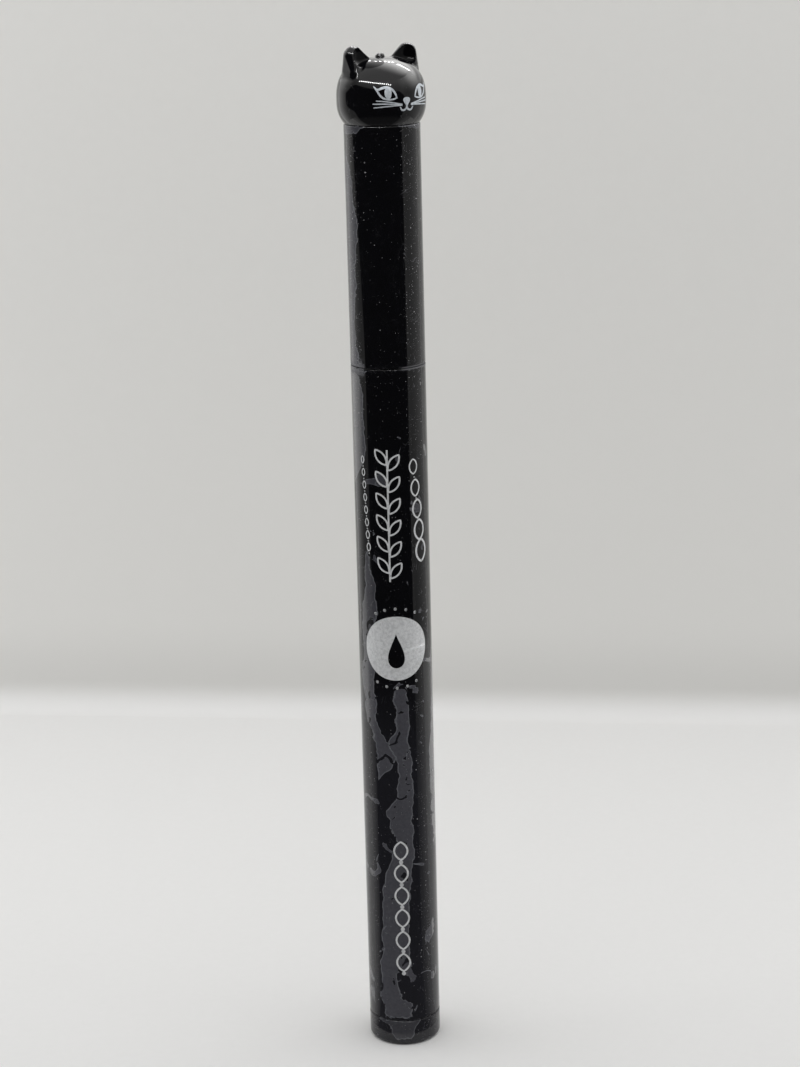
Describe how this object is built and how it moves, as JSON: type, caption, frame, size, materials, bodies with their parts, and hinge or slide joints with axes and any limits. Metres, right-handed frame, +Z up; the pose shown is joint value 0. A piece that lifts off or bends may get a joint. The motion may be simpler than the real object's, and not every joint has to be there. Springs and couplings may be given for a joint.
{
  "type": "liquid eyeliner pen",
  "caption": "Slim liquid eyeliner pen with a pull-off cap shaped as a cat's head, a sprung inner cap, a fine nib, an ink feed and a plugged ink tank.",
  "frame": {"origin": "the middle of the foot's flat underside", "axes": "+Z up along the pen towards the cap's head, -Y is the front of the barrel, +X to the right of it"},
  "size_m": [0.0118, 0.0118, 0.1423],
  "materials": {
    "barrel_gloss": "gloss black, lightly scratched and dusty",
    "cap_gloss": "gloss black, lightly scratched and dusty",
    "head_gloss": "gloss black with a printed silver cat's face",
    "foot_gloss": "gloss black, scuffed at the edge",
    "section_black": "satin black, moulded",
    "feed_plastic": "natural moulded plastic, stained with ink",
    "wick_fibre": "bonded fibre rod, soaked with ink",
    "nib_fibre": "fine fibres drawn to a point, wet with black ink",
    "liner_white": "white moulded plastic",
    "spring_steel": "drawn spring wire",
    "ball_steel": "polished ball",
    "print_silver": "silver-grey pad print under the gloss"
  },
  "bodies": {
    "pen": {"barrel": "barrel_gloss", "tail_plug": "foot_gloss", "tank_partition": "feed_plastic", "feed_wick": "wick_fibre", "collector": "feed_plastic", "front_section": "section_black", "nib_sleeve": "feed_plastic", "nib": "nib_fibre"},
    "ball": {"mixing_ball": "ball_steel"},
    "liner": {"inner_cap": "liner_white"},
    "spring": {"seal_spring": "spring_steel"},
    "cap": {"cap_tube": "cap_gloss", "cat_head": "head_gloss"}
  },
  "joints": [
    {"name": "ball_run", "type": "slide", "parent": "pen", "child": "ball", "axis": [0, 0, 1], "range_m": [0, 0.0549]},
    {"name": "cap_pull", "type": "slide", "parent": "pen", "child": "liner", "axis": [0, 0, 1], "range_m": [0, 0.032]},
    {"name": "seal_float", "type": "slide", "parent": "liner", "child": "spring", "axis": [0, 0, 1], "range_m": [0, 0.001], "deforming": ["seal_spring"]},
    {"name": "cap_turn", "type": "hinge", "parent": "spring", "child": "cap", "pos_m": [0, 0, 0.1], "axis": [0, 0, 1], "continuous": true}
  ]
}
